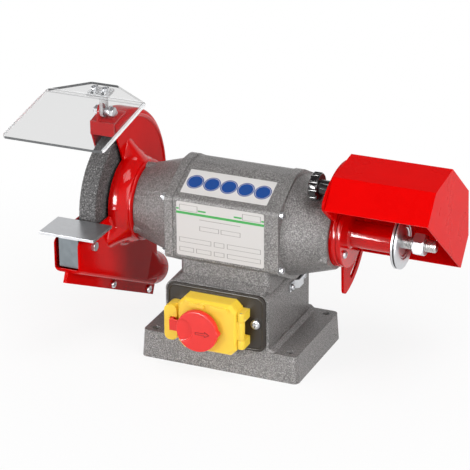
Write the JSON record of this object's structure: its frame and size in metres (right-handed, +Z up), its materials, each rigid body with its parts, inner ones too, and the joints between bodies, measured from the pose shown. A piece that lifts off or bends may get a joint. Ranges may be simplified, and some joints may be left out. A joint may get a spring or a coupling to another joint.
{
  "type": "combination bench grinder",
  "caption": "Bench grinder with a guarded grinding wheel, eye shield and tool rest on one end and a hooded polishing spindle on the other, on a cast foot with a stop switch.",
  "frame": {"origin": "centre of the foot's bolt pattern, in the plane of the bench", "axes": "+X along the spindle to the polishing end, +Y to the back, +Z up"},
  "size_m": [0.4489, 0.243, 0.2954],
  "materials": {
    "hammered_grey": "hammered enamel on a casting",
    "bare_steel": "plain sheet",
    "zinc": "bright zinc plating",
    "zinc_plate": "dull zinc plating",
    "bright_steel": "turned, oiled",
    "dark_steel": "laminated sheets",
    "copper": "enamelled copper winding; brass stands in for copper",
    "gloss_red": "glossy powder coat",
    "satin_red": "satin powder coat",
    "black_plastic": "moulded",
    "yellow_plastic": "moulded",
    "red_plastic": "moulded",
    "green_plastic": "moulded",
    "ivory_plastic": "moulded",
    "clear_plastic": "clear, polished",
    "abrasive": "coarse grey grit",
    "card": "paper blotter"
  },
  "bodies": {
    "frame": {"base_casting": "hammered_grey", "base_cover": "bare_steel", "cover_screws": "zinc", "motor_body": "hammered_grey", "left_bell": "hammered_grey", "right_bell": "hammered_grey", "tie_bolts": "zinc", "tie_nuts": "zinc", "stator_core": "dark_steel", "stator_windings": "copper", "capacitor": "ivory_plastic", "cable_gland": "black_plastic", "bearing_outers": "bright_steel", "bearing_balls": "bright_steel", "wave_washer": "bright_steel", "guard_inner_half": "gloss_red", "guard_outer_half": "gloss_red", "seam_screws": "zinc", "guard_screws": "zinc", "spark_arrester": "gloss_red", "arrester_screw": "zinc", "shield_bolt": "zinc", "rest_clamp_bolt": "zinc", "sector_plate": "gloss_red", "spindle_tube": "gloss_red", "tube_screws": "zinc", "switch_plate": "black_plastic", "plate_screws": "zinc", "switch_frame": "yellow_plastic", "switch_module": "black_plastic", "hinge_pin": "zinc", "saddle_clamp": "zinc", "clamp_screws": "zinc"},
    "rotor": {"spindle": "bright_steel", "rotor_core": "dark_steel", "bearing_inners": "bright_steel", "grinding_wheel": "abrasive", "wheel_blotters": "card", "inner_flange": "bright_steel", "outer_flange": "bright_steel", "wheel_nut": "zinc", "polish_flanges": "bright_steel", "polish_nut": "bright_steel"},
    "shield": {"eye_shield": "clear_plastic", "shield_leg": "clear_plastic", "leg_screws": "zinc"},
    "rest": {"tool_rest": "zinc_plate"},
    "hood": {"hood": "satin_red", "knob_bolt": "zinc", "guide_bolt": "zinc"},
    "knob": {"clamp_knob": "black_plastic"},
    "lid": {"switch_lid": "yellow_plastic"},
    "latch": {"latch_bar": "red_plastic"},
    "disc": {"stop_disc": "red_plastic"},
    "stop_key": {"stop_button": "red_plastic"},
    "start_key": {"start_button": "green_plastic"}
  },
  "joints": [
    {"name": "spindle_spin", "type": "hinge", "parent": "frame", "child": "rotor", "pos_m": [0, 0, 0.16], "axis": [1, 0, 0], "continuous": true},
    {"name": "shield_tilt", "type": "hinge", "parent": "frame", "child": "shield", "pos_m": [-0.1532, -0.022, 0.2675], "axis": [-1, 0, 0], "range_deg": [-35, 55]},
    {"name": "rest_slide", "type": "slide", "parent": "frame", "child": "rest", "axis": [0, -1, 0], "range_m": [-0.002, 0.008]},
    {"name": "hood_swing", "type": "hinge", "parent": "frame", "child": "hood", "pos_m": [0.1213, 0, 0.16], "axis": [-1, 0, 0], "range_deg": [0, 45]},
    {"name": "knob_turn", "type": "hinge", "parent": "hood", "child": "knob", "pos_m": [0.106, -0.02981, 0.22112], "axis": [1, 0, 0], "continuous": true},
    {"name": "cover_hinge", "type": "hinge", "parent": "frame", "child": "lid", "pos_m": [0.0345, -0.0806, 0.0615], "axis": [0, 0, 1], "range_deg": [0, 105]},
    {"name": "latch_slide", "type": "slide", "parent": "lid", "child": "latch", "axis": [1, 0, 0], "range_m": [0, 0.004], "stiffness_N_per_m": 300, "springref_m": -0.002},
    {"name": "stop_press", "type": "slide", "parent": "latch", "child": "disc", "axis": [0, 1, 0], "range_m": [0, 0.0025], "stiffness_N_per_m": 800, "springref_m": -0.001},
    {"name": "stop_key_press", "type": "slide", "parent": "frame", "child": "stop_key", "axis": [0, 1, 0], "range_m": [0, 0.0025], "stiffness_N_per_m": 600, "springref_m": -0.001},
    {"name": "start_key_press", "type": "slide", "parent": "frame", "child": "start_key", "axis": [0, 1, 0], "range_m": [0, 0.003], "stiffness_N_per_m": 600, "springref_m": -0.001}
  ],
  "couplings": [
    {"joint": "stop_key_press", "follows": "stop_press", "ratio": 1}
  ]
}
